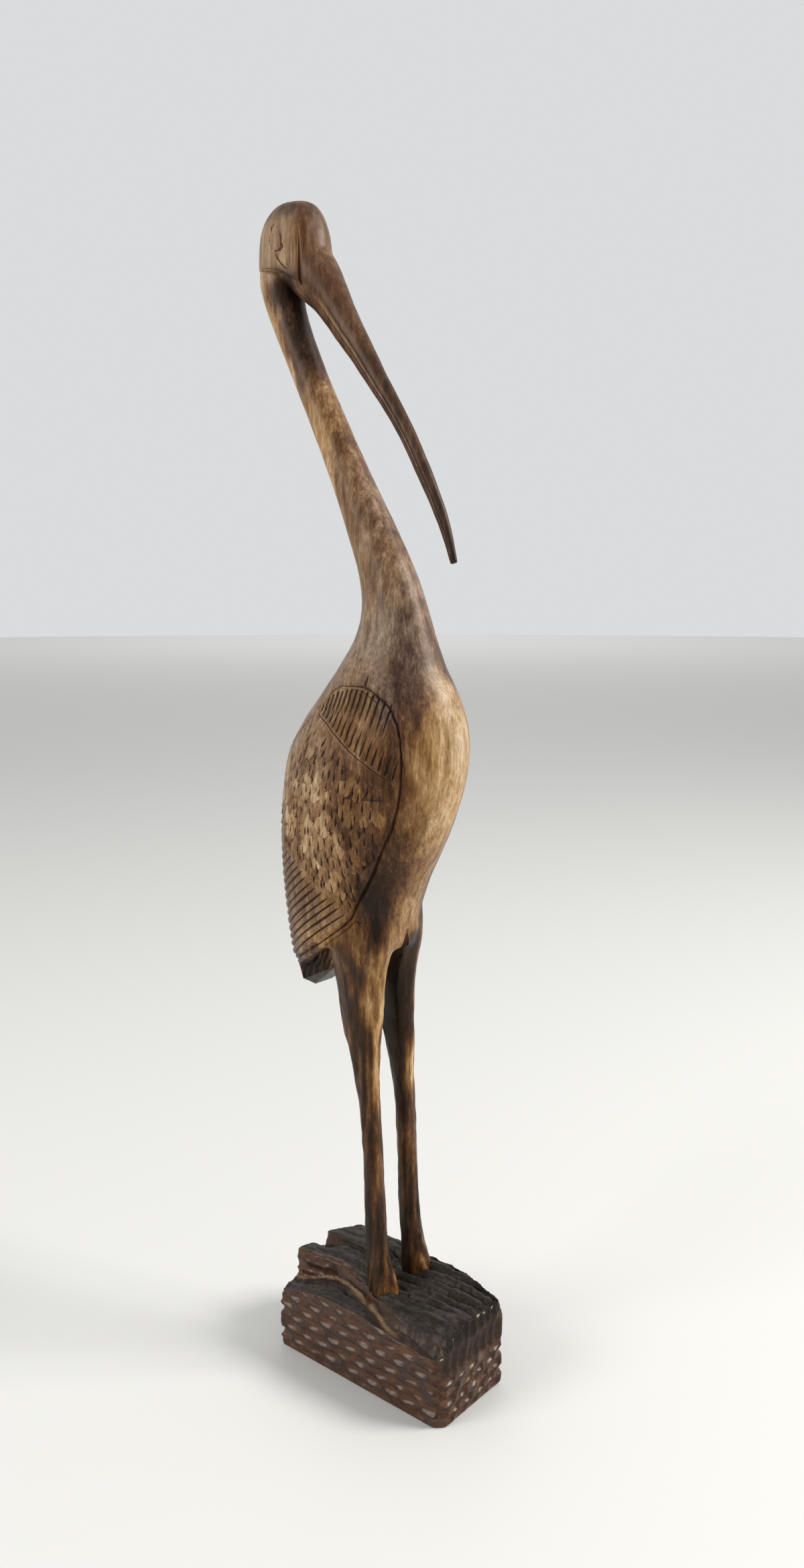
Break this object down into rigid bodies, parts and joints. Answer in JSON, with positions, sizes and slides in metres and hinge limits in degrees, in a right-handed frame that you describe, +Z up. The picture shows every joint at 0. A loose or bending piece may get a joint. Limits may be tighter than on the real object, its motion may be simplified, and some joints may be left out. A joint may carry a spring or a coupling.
{
  "type": "crane sculpture",
  "caption": "Carved wooden crane with a long down-curved bill and folded wings, standing on two slim legs on a rough chiselled rock, bird and rock cut from one block of wood.",
  "frame": {"origin": "underside of the rock, midway between the two feet and midway along the rock", "axes": "+Z up; the bird faces -Y; X = 0 is the bird's plane of symmetry, with its left side at +X"},
  "size_m": [0.0648, 0.1278, 0.5237],
  "materials": {
    "carved_wood": "one wood, hand carved, stained and scorched unevenly from olive tan to near black, under satin lacquer"
  },
  "bodies": {
    "root": {"crane_on_rock": "carved_wood"}
  },
  "joints": []
}
